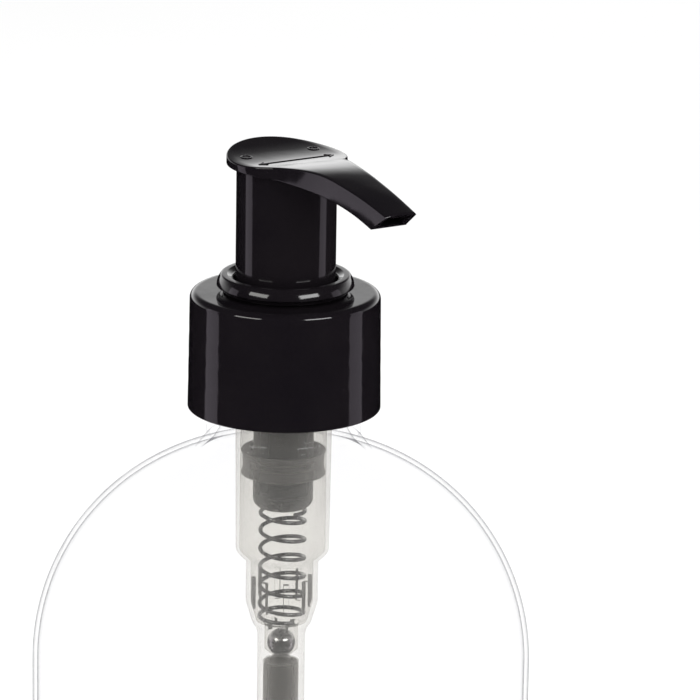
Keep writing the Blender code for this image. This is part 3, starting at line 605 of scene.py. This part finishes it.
def housing(material):
    cone_top = BALL_LOW + 1.35
    outline = rounded([
        (UPPER_BORE, FLANGE_TOP, 0.2), (FLANGE_RADIUS, FLANGE_TOP, 0.2), (FLANGE_RADIUS, FLANGE_TOP - 1.2, 0.2),
        (UPPER_RADIUS, FLANGE_TOP - 1.2, 0.15), (UPPER_RADIUS, HEAD_ROOM, 0.8),
        (BARREL_BORE + 0.85, HEAD_ROOM - 2.4, 0.8), (BARREL_BORE + 0.6, BARREL_END, 1.1),
        (LOWER_RADIUS, LOWER_TOP, 0.5), (LOWER_RADIUS, LOWER_END, 0.6), (SEAT_BORE + 0.8, SEAT_Z, 0.4),
        (SOCKET_RADIUS + 0.3, SEAT_Z - 1.2, 0.4),
        (SOCKET_RADIUS, SEAT_Z - 2.4, 0.6), (SOCKET_RADIUS, HOUSING_END, 0.2), (SOCKET_BORE, HOUSING_END, 0.25),
        (SOCKET_BORE, TUBE_TOP + 0.2, 0.1), (1.5, TUBE_TOP + 0.2, 0.2), (1.5, cone_top - 1.2, 0.1),
        (2.9, cone_top, 0.2), (2.9, SEAT_Z - 0.8, 0.1), (3.3, SEAT_Z, 0.1), (SEAT_BORE, SEAT_Z, 0.2),
        (LOWER_BORE, LOWER_END, 0.4), (LOWER_BORE, LOWER_TOP, 0.4), (BARREL_BORE, BARREL_END, 0.6),
        (BARREL_BORE, HEAD_ROOM, 0.2), (UPPER_BORE, HEAD_ROOM, 0.2),
    ])
    obj = finished(turned(outline, ring_angles(128)), "pump_barrel")
    rib_top, rib_end = PLUNGER_END - STROKE - 0.6, SEAT_Z + 2.3
    extras = []
    for i in range(8):
        centre = (LOWER_BORE - 0.25, 0.0, (rib_top + rib_end) / 2)
        extras.append(block(f"rib_{i}", (1.1, 0.9, rib_top - rib_end), centre, math.tau * (i + 0.5) / 8))
    for i in range(4):
        extras.append(block(f"nib_{i}", (1.2, 0.8, 0.8), (2.9 - 0.3, 0.0, SEAT_Z - 0.8), math.tau * i / 4))
    combine(obj, extras, "UNION")
    place(obj, "pump_unit", "natural_pp", material, "pump_housing")


def inlet_ball(material):
    """A polished ball, made from a cube sphere so that it has no poles."""
    bm = bmesh.new()
    bmesh.ops.create_cube(bm, size=2.0)
    bmesh.ops.subdivide_edges(bm, edges=bm.edges[:], cuts=15, use_grid_fill=True)
    for v in bm.verts:
        v.co = v.co.normalized() * BALL_RADIUS + Vector((0, 0, (BALL_LOW + BALL_TOP) / 2))
    obj = finished(bm, "valve_ball", 60)
    place(obj, "inlet_ball", "steel", material, "inlet_ball")


def dip_tube(material):
    """The bowed tube, with a softened end cut at a slant."""
    sides, rings_count = 48, 60
    straight_end = HOUSING_END - 6.0
    bow = TUBE_REACH - TUBE_RADIUS
    end = TUBE_END + TUBE_RADIUS
    bm = bmesh.new()
    loops = []
    for radius in (TUBE_RADIUS, 2.3):
        for i in range(rings_count + 1):
            z = TUBE_TOP + (end - TUBE_TOP) * i / rings_count
            fall = max(0.0, (straight_end - z) / (straight_end - end))
            cut = max(0.0, (i / rings_count - 0.9) / 0.1) ** 2
            inward = 0.08 if i in (0, rings_count) and radius == TUBE_RADIUS else 0.0
            loop = []
            for k in range(sides):
                a = math.tau * k / sides
                x, y = (radius - inward) * math.cos(a), (radius - inward) * math.sin(a)
                loop.append(bm.verts.new((bow * fall * fall + x, y, z + cut * x)))
            loops.append(loop)
    outer, inner = loops[:rings_count + 1], loops[rings_count + 1:]
    loft(bm, outer + inner[::-1], closed=True)
    obj = finished(bm, "suction_tube")
    place(obj, "pump_unit", "natural_pe", material, "dip_tube")


# --- moving column --------------------------------------------------------------------------------------


def stem(material):
    outline = rounded([(STEM_RADIUS, STEM_END, 0.25), (STEM_RADIUS, STEM_TOP, 0.3), (2.6, STEM_TOP, 0.2),
                       (2.6, STEM_END, 0.2)])
    obj = finished(turned(outline, ring_angles(96)), "stem_tube")
    ports = [block(f"port_{i}", (20.0, 1.8, 1.8), (0, 0, -10.4), math.pi / 2 * i) for i in range(2)]
    combine(obj, ports, "DIFFERENCE")
    place(obj, "head", "natural_pp", material, "stem")


def plunger(material):
    bore = STEM_RADIUS + 0.1
    floor = PLUNGER_END + 2.2
    outline = rounded([
        (0.0, PLUNGER_END), (PLUNGER_RADIUS, PLUNGER_END, 1.7), (PLUNGER_RADIUS, PLUNGER_TOP, 0.2),
        (bore, PLUNGER_TOP, 0.3), (bore, floor, 0.2), (0.0, floor),
    ], closed=False, steps=8)
    obj = finished(turned(outline, ring_angles(96)), "plunger_cup")
    place(obj, "head", "natural_pp", material, "plunger")


def piston(material):
    """Thin lips that flare to the barrel, on a web and a hub."""
    lip_end = -11.8
    lip_top = lip_end + 4.2
    web = (lip_end + lip_top) / 2
    hub = PLUNGER_RADIUS
    seal = STEM_RADIUS + 0.1
    passage = STEM_RADIUS + 0.5
    waist = PISTON_RADIUS - 0.35
    inside = PISTON_RADIUS - 0.65
    outline = rounded([
        (passage, PISTON_END, 0.15), (hub, PISTON_END, 0.15), (hub, web - 0.55, 0.4),
        (inside - 0.25, web - 0.55, 0.5), (inside + 0.15, lip_end, 0.12), (PISTON_RADIUS, lip_end, 0.12),
        (waist, web - 1.0, 1.2), (waist, web + 1.0, 1.2),
        (PISTON_RADIUS, lip_top, 0.12), (inside + 0.15, lip_top, 0.12), (inside - 0.25, web + 0.55, 0.5),
        (hub, web + 0.55, 0.4), (hub, PISTON_TOP, 0.15), (seal, PISTON_TOP, 0.15),
        (seal, PISTON_TOP - 4.0, 0.2),
        (passage, PISTON_TOP - 4.5, 0.2),
    ])
    obj = finished(turned(outline, ring_angles(128)), "piston_seal")
    place(obj, "piston", "natural_pe", material, "piston")


def return_spring(material):
    """Left-handed, closed at both ends."""
    steps, sides, closed_turns = 48, 14, 0.75
    bottom, top = SPRING_END + SPRING_WIRE, SPRING_TOP - SPRING_WIRE
    closed_pitch = 2 * SPRING_WIRE + 0.12
    open_turns = SPRING_TURNS - 2 * closed_turns
    open_pitch = (top - bottom - 2 * closed_turns * closed_pitch) / open_turns
    bm = bmesh.new()
    rings = []
    total = round(SPRING_TURNS * steps)
    for i in range(total + 1):
        turn = SPRING_TURNS * i / total
        low = min(turn, closed_turns)
        high = max(0.0, turn - closed_turns - open_turns)
        z = bottom + (low + high) * closed_pitch + (turn - low - high) * open_pitch
        angle = -math.tau * turn
        ring = []
        for k in range(sides):
            around = math.tau * k / sides
            r, height = SPRING_RADIUS + SPRING_WIRE * math.cos(around), z + SPRING_WIRE * math.sin(around)
            ring.append(bm.verts.new((r * math.cos(angle), r * math.sin(angle), height)))
        rings.append(ring)
    loft(bm, rings)
    obj = finished(bm, "spring_coil", 50)
    place(obj, "pump_unit", "steel", material, "return_spring")
    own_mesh(obj)


# --- actuator head --------------------------------------------------------------------------------------

top_of = spline(SADDLE_TOP)
under_of = spline(SADDLE_UNDER)
side_of = spline([(5.1, 8.83), *SADDLE_SIDE])
TIP_ROWS = 16


def tip_share(u):
    return min(1.0, max(0.0, u / SPOUT_REACH))


def plan_side():
    """One side of the saddle seen from above, from its rearmost point to the spout's tip."""
    disc = [(-HEAD_RADIUS * math.cos(math.radians(a)), HEAD_RADIUS * math.sin(math.radians(a)))
            for a in np.linspace(0, 120, 49)]
    spout = [(u, side_of(u)) for u in np.linspace(5.1, SPOUT_REACH, 70)[1:]]
    return disc + spout


def plan_ring(inset, flare):
    """The saddle's closed plan, inset by a distance and widened towards the tip by flare."""
    side = plan_side()
    points = []
    for i, (u, v) in enumerate(side):
        a, b = side[max(i - 1, 0)], side[min(i + 1, len(side) - 1)]
        along = Vector((b[0] - a[0], b[1] - a[1])).normalized()
        if i == 0:
            along = Vector((0.0, 1.0))
        inward = Vector((along.y, -along.x))
        x, y = u + inward.x * inset, v + inward.y * inset
        if i == len(side) - 1:
            x = u - inset
        points.append((x, max(0.0, y) + flare * tip_share(u)))
    tip_x, tip_y = points[-1]
    front = [(tip_x, tip_y * (1 - 2 * k / TIP_ROWS)) for k in range(1, TIP_ROWS)]
    return points + front + [(x, -y) for x, y in points[:0:-1]]


def saddle_height(x, y):
    """Height of the saddle's top at a place in plan."""
    share = tip_share(x)
    width = side_of(x) if x > 5.1 else HEAD_RADIUS
    return top_of(x) - SADDLE_CROWN * share * (y / width) ** 2


def slanted(x, y, level):
    """A point between the saddle's underside (level 0) and its top (level 1), pulled back towards the lip."""
    slant = TIP_SLANT * tip_share(x) ** 3
    high, low = saddle_height(x, y), under_of(x - slant)
    return (x - slant * (1 - level), y, low + (high - low) * level)


def ring_at(bm, inset, level, drop):
    """A ring of vertices round the saddle, inset, at a level between underside and top and then dropped."""
    ring = []
    for x, y in plan_ring(inset, SIDE_DRAFT * (1 - level)):
        px, py, pz = slanted(x, y, level)
        ring.append(bm.verts.new((px, py, pz - drop)))
    return ring


def covered(bm, ring, level):
    """Fills a ring with rows of points that lie on the saddle's top or underside."""
    count = len(plan_side())
    left, right = ring[:count], [ring[0]] + ring[:count + TIP_ROWS - 2:-1]
    rows = []
    for i in range(1, count - 1):
        a, b = left[i].co, right[i].co
        row = [left[i]]
        for k in range(1, TIP_ROWS):
            y = a.y + (b.y - a.y) * k / TIP_ROWS
            x = plan_x(a.x, level)
            row.append(bm.verts.new((a.x, y, slanted(x, y, level)[2])))
        rows.append(row + [right[i]])
    rows.append(ring[count - 1:count + TIP_ROWS])
    for k in range(TIP_ROWS):
        bm.faces.new((ring[0], rows[0][k], rows[0][k + 1]))
    for first, second in zip(rows, rows[1:]):
        for k in range(TIP_ROWS):
            bm.faces.new((first[k], first[k + 1], second[k + 1], second[k]))


def plan_x(x, level):
    """The place in plan whose point at this level has been pulled back to x."""
    guess = x
    for _ in range(6):
        guess = x + TIP_SLANT * tip_share(guess) ** 3 * (1 - level)
    return guess


def saddle():
    """Top, rounded rim, side wall and underside of the saddle and spout, as one skin."""
    bm = bmesh.new()
    rim, foot_round, steps = 0.28, 0.22, 4
    rings = []
    for k in range(steps + 1):
        a = math.pi / 2 * k / steps
        rings.append(ring_at(bm, foot_round * (1 - math.sin(a)), 0.0, -foot_round * (1 - math.cos(a))))
    for k in range(steps + 1):
        a = math.pi / 2 * k / steps
        rings.append(ring_at(bm, rim * (1 - math.cos(a)), 1.0, rim * (1 - math.sin(a))))
    for first, second in zip(rings, rings[1:]):
        for k in range(len(first)):
            b = (k + 1) % len(first)
            bm.faces.new((first[k], first[b], second[b], second[k]))
    covered(bm, rings[0], 0.0)
    covered(bm, rings[-1], 1.0)
    return finished(bm, "press_head", 38)


def channel():
    """The passage from above the stem to the outlet."""
    bm = bmesh.new()
    stations = [-2.6, 0.0, 2.6] + list(np.linspace(SLEEVE_BORE, SPOUT_REACH, 16))
    half = 2.3
    sides = []
    for u in stations:
        share = tip_share(u)
        slant = TIP_SLANT * share ** 3
        high, low = top_of(u), under_of(u - slant)
        roof = high - SADDLE_CROWN * share - 0.5
        floor = under_of(0.0) - 1.6 if u < SLEEVE_BORE else max(low + 0.5, roof - 2.1)
        sides.append([(u - slant * (high - z) / (high - low), z) for z in (floor, roof)])
    sides.append([(2 * b[0] - a[0], 2 * b[1] - a[1]) for a, b in zip(sides[-2], sides[-1])])
    sections = []
    for (low_u, low), (high_u, high) in sides:
        corners = ((low_u, -half, low), (low_u, half, low), (high_u, half, high), (high_u, -half, high))
        sections.append([bm.verts.new(c) for c in corners])
    loft(bm, sections)
    return finished(bm, "channel")


def actuator_head(material):
    obj = saddle()
    tubes_top = under_of(0.0) + 1.0
    sleeve = rounded([(SLEEVE_RADIUS, SLEEVE_END, 0.3), (SLEEVE_RADIUS, tubes_top), (SLEEVE_BORE, tubes_top),
                      (SLEEVE_BORE, SLEEVE_END, 0.3)])
    grip = STEM_RADIUS + 0.1
    stop = STEM_TOP + 0.2
    grip_end = STEM_TOP - 15.0
    socket = rounded([(0.0, tubes_top), (0.0, stop), (grip, stop, 0.1), (grip, grip_end, 0.3),
                      (grip + 1.1, grip_end, 0.2), (grip + 1.1, tubes_top)], closed=False)
    socket = [(0.0, stop)] + socket[2:] + [(0.0, tubes_top)]
    duct_end = SLEEVE_BORE + 0.55
    duct = block("duct", (duct_end, 5.8, 3.5), (duct_end / 2, 0, tubes_top - 1.75))
    parts = [finished(turned(sleeve, ring_angles(160)), "sleeve"),
             finished(turned(socket, ring_angles(96)), "socket")]
    combine(obj, parts + [duct], "UNION")
    riser = [(0.0, stop - 0.3), (2.6, stop - 0.3), (2.6, under_of(0.0)), (0.0, under_of(0.0))]
    combine(obj, [finished(turned(riser, ring_angles(64)), "riser"), channel()], "DIFFERENCE")
    place(obj, "head", "black_plastic", material, "actuator_head")


def stroke(bm, path, width, height, closed=False):
    """A raised line with a rounded back, along a path in plan on the saddle's top."""
    rings = []
    count = len(path)
    for i, (x, y) in enumerate(path):
        if closed:
            a, b = path[i - 1], path[(i + 1) % count]
        else:
            a, b = path[max(i - 1, 0)], path[min(i + 1, count - 1)]
        along = Vector((b[0] - a[0], b[1] - a[1])).normalized()
        across = Vector((-along.y, along.x))
        section = [(-0.5, -0.3), (-0.5, 0.4), (-0.3, 0.85), (0.0, 1.0), (0.3, 0.85), (0.5, 0.4), (0.5, -0.3)]
        ring = []
        for s, h in section:
            px, py = x + across.x * s * width, y + across.y * s * width
            ring.append(bm.verts.new((px, py, saddle_height(px, py) + h * height)))
        rings.append(ring)
    loft(bm, rings, closed=closed)


def turn_marks(material):
    """Generic marks for turning the head: a line with two arrowheads, and a small ring on each side."""
    bm = bmesh.new()
    width, height, line_x, reach = 0.38, 0.13, 3.0, 7.2
    stroke(bm, [(line_x, y) for y in np.linspace(-reach, reach, 30)], width, height)
    for sign in (-1, 1):
        for lean in (-1, 1):
            barb = [(line_x + lean * 0.16 * k, sign * (reach - 0.2 * k)) for k in range(7)]
            stroke(bm, barb, width, height)
        ring = [(0.85 * math.cos(math.tau * k / 28) - 2.3, sign * 6.6 + 0.85 * math.sin(math.tau * k / 28))
                for k in range(28)]
        stroke(bm, ring, width, height, closed=True)
    obj = finished(bm, "turn_marks", 50)
    place(obj, "head", "black_plastic", material)


# --- studio ---------------------------------------------------------------------------------------------

CAMERA_AZIMUTH = 57.9
CAMERA_ELEVATION = 15.75
CAMERA_DISTANCE = 0.9
CAMERA_LENS = 271.5
CAMERA_ROLL = 0.9
VIEW_RIGHT = 0.0111  # how far right of and above the closure's lower edge the picture's centre is
VIEW_UP = 0.0097


def towards(azimuth, elevation):
    """Unit vector from the object to a viewer at this azimuth and elevation, in degrees."""
    a, e = math.radians(azimuth), math.radians(elevation)
    return Vector((math.sin(a) * math.cos(e), -math.cos(a) * math.cos(e), math.sin(e)))


def camera():
    data = bpy.data.cameras.new("camera")
    data.lens = CAMERA_LENS
    data.sensor_width = 36.0
    data.clip_start, data.clip_end = 0.01, 20.0
    obj = bpy.data.objects.new("camera", data)
    bpy.context.scene.collection.objects.link(obj)
    back = towards(CAMERA_AZIMUTH, CAMERA_ELEVATION)
    turn = back.to_track_quat("Z", "Y")
    aim = Vector((0, 0, CLOSURE_Z)) + turn @ Vector((VIEW_RIGHT, VIEW_UP, 0))
    obj.location = aim + back * CAMERA_DISTANCE
    obj.rotation_mode = "QUATERNION"
    obj.rotation_quaternion = turn @ Matrix.Rotation(math.radians(CAMERA_ROLL), 3, "Z").to_quaternion()
    bpy.context.scene.camera = obj


def softbox(name, azimuth, elevation, distance, width, height, radiance, colour=(1, 1, 1)):
    """A rectangular light, azimuth counted from the camera's, facing the closure."""
    data = bpy.data.lights.new(name, "AREA")
    data.shape = "RECTANGLE"
    data.size, data.size_y = width, height
    data.energy = radiance * math.pi * width * height
    data.color = colour
    obj = bpy.data.objects.new(name, data)
    bpy.context.scene.collection.objects.link(obj)
    back = towards(CAMERA_AZIMUTH + azimuth, elevation)
    obj.location = Vector((0, 0, CLOSURE_Z + 0.02)) + back * distance
    obj.rotation_euler = back.to_track_quat("Z", "Y").to_euler()
    obj.visible_camera = False
    obj.visible_transmission = False
    return obj


def world():
    """Pale all round. Reflections see a dark room with a bright band above the horizon, behind the object."""
    made = bpy.data.worlds.new("studio")
    bpy.context.scene.world = made
    made.use_nodes = True
    tree = made.node_tree
    tree.nodes.clear()
    out = tree.nodes.new("ShaderNodeOutputWorld")
    pale, room, mix = (tree.nodes.new(kind) for kind in ("ShaderNodeBackground", "ShaderNodeBackground",
                                                         "ShaderNodeMixShader"))
    pale.inputs["Color"].default_value = (1.0, 1.0, 1.0, 1)
    pale.inputs["Strength"].default_value = 1.0
    where = tree.nodes.new("ShaderNodeTexCoord")
    split = tree.nodes.new("ShaderNodeSeparateXYZ")
    ramp = tree.nodes.new("ShaderNodeValToRGB")
    stops = [(0.0, 0.0), (0.49, 0.0), (0.51, 1.0), (0.58, 0.95), (0.62, 0.6), (0.655, 0.3), (0.69, 0.09),
             (0.75, 0.02), (1.0, 0.01)]
    elements = ramp.color_ramp.elements
    while len(elements) < len(stops):
        elements.new(0.5)
    for element, (position, value) in zip(elements, stops):
        element.position = position
        element.color = (value, value, value, 1)
    height = tree.nodes.new("ShaderNodeMapRange")
    height.inputs["From Min"].default_value = -1.0
    facing = tree.nodes.new("ShaderNodeVectorMath")
    facing.operation = "DOT_PRODUCT"
    facing.inputs[1].default_value = -towards(CAMERA_AZIMUTH, 0)
    strength = tree.nodes.new("ShaderNodeMapRange")
    for key, value in (("From Min", 0.1), ("From Max", 0.8), ("To Min", 0.0), ("To Max", 1.7)):
        strength.inputs[key].default_value = value
    path = tree.nodes.new("ShaderNodeLightPath")
    links = tree.links
    links.new(where.outputs["Generated"], split.inputs[0])
    links.new(split.outputs["Z"], height.inputs["Value"])
    links.new(height.outputs[0], ramp.inputs["Fac"])
    links.new(where.outputs["Generated"], facing.inputs[0])
    links.new(facing.outputs["Value"], strength.inputs["Value"])
    links.new(ramp.outputs["Color"], room.inputs["Color"])
    links.new(strength.outputs[0], room.inputs["Strength"])
    links.new(path.outputs["Is Glossy Ray"], mix.inputs["Fac"])
    links.new(pale.outputs[0], mix.inputs[1])
    links.new(room.outputs[0], mix.inputs[2])
    links.new(mix.outputs[0], out.inputs["Surface"])


def floor():
    """A wide pale floor, which black gloss doesn't mirror."""
    bm = bmesh.new()
    bmesh.ops.create_grid(bm, x_segments=2, y_segments=2, size=6.0)
    mesh = bpy.data.meshes.new("floor")
    bm.to_mesh(mesh)
    bm.free()
    obj = bpy.data.objects.new("floor", mesh)
    bpy.context.scene.collection.objects.link(obj)
    n = Nodes("floor")
    shader = n.add("ShaderNodeBsdfPrincipled", Roughness=0.9)
    shader.inputs["Specular IOR Level"].default_value = 0.0
    n.link(n.tint(n.noise(3.0), (0.93, 0.93, 0.93), (0.95, 0.95, 0.95)), shader, "Color", "Base Color")
    n.link(shader, n.output, "BSDF", "Surface")
    mesh.materials.append(n.material)
    obj.visible_glossy = False


def studio():
    bpy.context.scene.view_settings.view_transform = "Standard"
    camera()
    world()
    floor()
    softbox("left_box", -47, 26, 0.9, 0.5, 0.22, 6.0, (1.0, 1.0, 0.96))
    softbox("right_box", 43, 26, 0.9, 0.5, 0.22, 9.0)
    softbox("left_strip", -95, -16, 0.35, 0.13, 0.5, 0.8, (0.97, 0.88, 1.0))
    softbox("right_strip", 94, -16, 0.35, 0.13, 0.5, 0.7, (0.97, 0.88, 1.0))


def main():
    black = black_plastic()
    thin_pp = milky_plastic("housing_pp", (0.86, 0.85, 0.83), 0.05, 0.34, 0.2, 180.0)
    pp = milky_plastic("natural_pp", (0.90, 0.885, 0.87), 0.1, 0.3, 0.25, 180.0)
    pe = milky_plastic("natural_pe", (0.88, 0.855, 0.83), 0.16, 0.3, 0.35, 140.0)
    wire = steel("spring_wire", (1, 1, 0.1), (0.20, 0.20, 0.21), (0.32, 0.32, 0.33))
    polished = steel("ball_steel", (1, 1, 1), (0.42, 0.42, 0.43), (0.56, 0.56, 0.57))
    studio()
    bottle(clear_pet())
    closure(black)
    gasket(white_foam())
    lock_ring(black)
    housing(thin_pp)
    inlet_ball(polished)
    dip_tube(pe)
    stem(pp)
    plunger(pp)
    piston(pe)
    return_spring(wire)
    actuator_head(black)
    turn_marks(black)


main()
